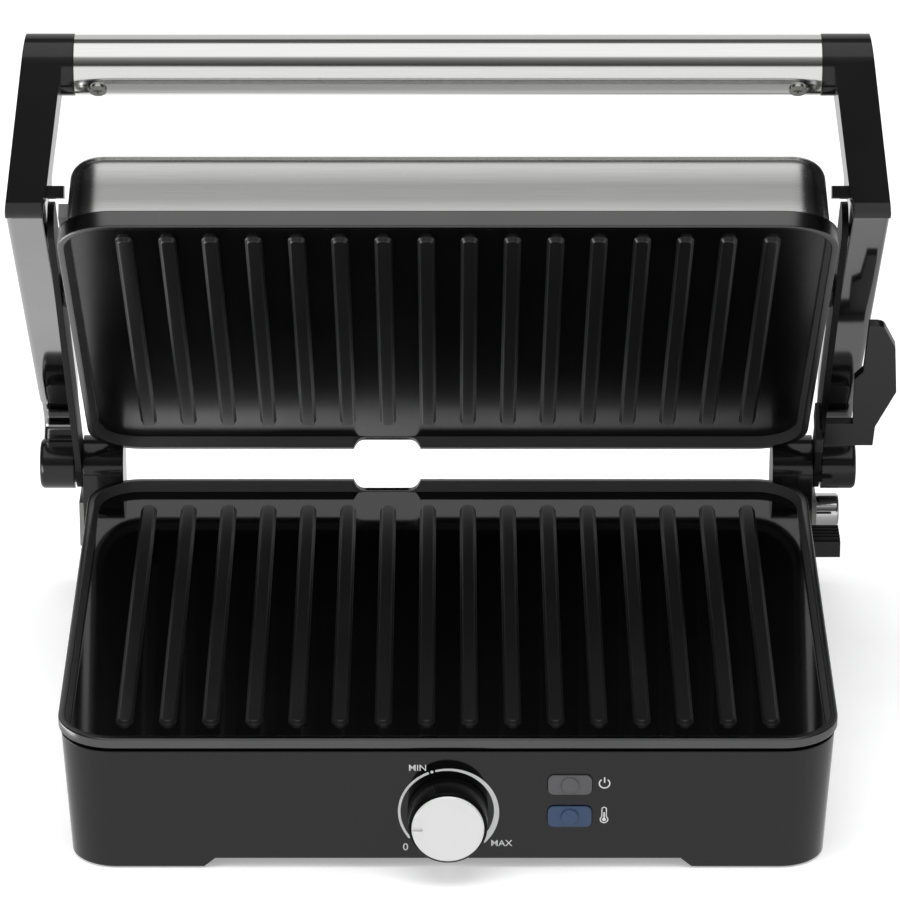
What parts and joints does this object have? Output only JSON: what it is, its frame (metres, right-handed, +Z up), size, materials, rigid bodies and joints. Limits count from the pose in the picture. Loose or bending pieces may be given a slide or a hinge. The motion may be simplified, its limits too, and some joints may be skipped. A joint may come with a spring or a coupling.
{
  "type": "panini press",
  "caption": "Contact grill with ribbed lower and upper plates, a floating domed lid on two arms, a cross-bar handle, a front dial with lamps and a rear drip tray.",
  "frame": {"origin": "on the table plane, under the middle of the lower plate", "axes": "+X to the user's right, +Y to the back, +Z up"},
  "size_m": [0.3536, 0.2918, 0.29],
  "materials": {
    "dark_plastic": "satin charcoal moulding",
    "rubber": "matte black rubber",
    "zinc": "zinc-plated steel",
    "nonstick": "cast aluminium with dark satin non-stick coating",
    "element_sheath": "dull steel sheath",
    "bright_sheet": "bright thin sheet",
    "bakelite": "dark moulded resin",
    "clear_lens": "clear lens",
    "blue_lens": "blue lens",
    "neon_glass": "small glass lamps",
    "terminal_plastic": "white moulded resin",
    "gloss_black": "gloss black moulding",
    "hinge_steel": "grey pressed steel",
    "silver_arm": "gloss silver lacquer",
    "black_steel": "black painted steel",
    "brushed_tube": "brushed stainless steel tube",
    "satin_black": "satin black moulding",
    "grey_frame": "satin grey frame",
    "brushed_cover": "brushed stainless steel",
    "knob_grey": "dark knob skirt",
    "silver_cap": "satin silver cap",
    "grey_button": "grey moulding",
    "chrome_button": "bright chrome"
  },
  "bodies": {
    "base": {"base_housing": "dark_plastic", "bottom_cover": "dark_plastic", "rubber_feet": "rubber", "base_screws": "zinc", "lower_grill_plate": "nonstick", "lower_heating_element": "element_sheath", "lower_heat_reflector": "bright_sheet", "thermostat_body": "bakelite", "power_lamp_lens": "clear_lens", "heat_lamp_lens": "blue_lens", "lamp_holder": "bakelite", "neon_lamps": "neon_glass", "cord_gland": "rubber", "terminal_block": "terminal_plastic", "thermal_fuse": "zinc", "right_hinge_bracket": "gloss_black", "left_hinge_bracket": "gloss_black", "right_hinge_plate": "hinge_steel", "left_hinge_plate": "hinge_steel", "right_hinge_pin": "zinc", "left_hinge_pin": "zinc"},
    "arms": {"right_arm_cover": "silver_arm", "left_arm_cover": "silver_arm", "right_arm_strap": "black_steel", "left_arm_strap": "black_steel", "right_handle_bracket": "gloss_black", "left_handle_bracket": "gloss_black", "right_lid_pivot_pin": "zinc", "left_lid_pivot_pin": "zinc", "handle_tube": "brushed_tube", "handle_screws": "zinc", "lever_bracket": "satin_black", "lever_pin": "zinc", "right_hinge_cap": "gloss_black", "left_hinge_cap": "gloss_black", "right_arm_plugs": "satin_black", "left_arm_plugs": "satin_black"},
    "lid": {"upper_grill_plate": "nonstick", "upper_heating_element": "element_sheath", "upper_heat_reflector": "bright_sheet", "lid_frame": "grey_frame", "lid_cover": "brushed_cover", "right_pivot_block": "satin_black", "left_pivot_block": "satin_black"},
    "knob": {"temperature_knob": "knob_grey", "knob_cap": "silver_cap", "thermostat_shaft": "zinc"},
    "drip_tray": {"drip_tray": "satin_black"},
    "lower_release": {"lower_release_slider": "satin_black"},
    "upper_release": {"upper_release_button": "grey_button"},
    "hinge_release": {"hinge_release_button": "chrome_button"},
    "lever": {"hinge_release_lever": "satin_black"}
  },
  "joints": [
    {"name": "lid_hinge", "type": "hinge", "parent": "base", "child": "arms", "pos_m": [0, 0.1305, 0.06], "axis": [-1, 0, 0], "range_deg": [-45, 84]},
    {"name": "lid_tilt", "type": "hinge", "parent": "arms", "child": "lid", "pos_m": [0, 0.04459, 0.17491], "axis": [1, 0, 0], "range_deg": [-1.5, 1.5]},
    {"name": "knob_turn", "type": "hinge", "parent": "base", "child": "knob", "pos_m": [0, -0.125, 0.0254], "axis": [0, 1, 0], "range_deg": [-45, 225]},
    {"name": "tray_slide", "type": "slide", "parent": "base", "child": "drip_tray", "axis": [0, 1, 0], "range_m": [0, 0.045]},
    {"name": "lower_plate_release", "type": "slide", "parent": "base", "child": "lower_release", "axis": [0, 1, 0], "range_m": [0, 0.004], "stiffness_N_per_m": 400, "springref_m": -0.002},
    {"name": "upper_plate_release", "type": "slide", "parent": "lid", "child": "upper_release", "axis": [1, 0, 0], "range_m": [0, 0.0025], "stiffness_N_per_m": 400, "springref_m": -0.002},
    {"name": "hinge_release_push", "type": "slide", "parent": "base", "child": "hinge_release", "axis": [-1, 0, 0], "range_m": [0, 0.004], "stiffness_N_per_m": 400, "springref_m": -0.002},
    {"name": "lever_swing", "type": "hinge", "parent": "arms", "child": "lever", "pos_m": [0.17, 0.091, 0.08902], "axis": [1, 0, 0], "range_deg": [0, 20], "stiffness_Nm_per_rad": 0.08, "springref_deg": -11.46}
  ]
}
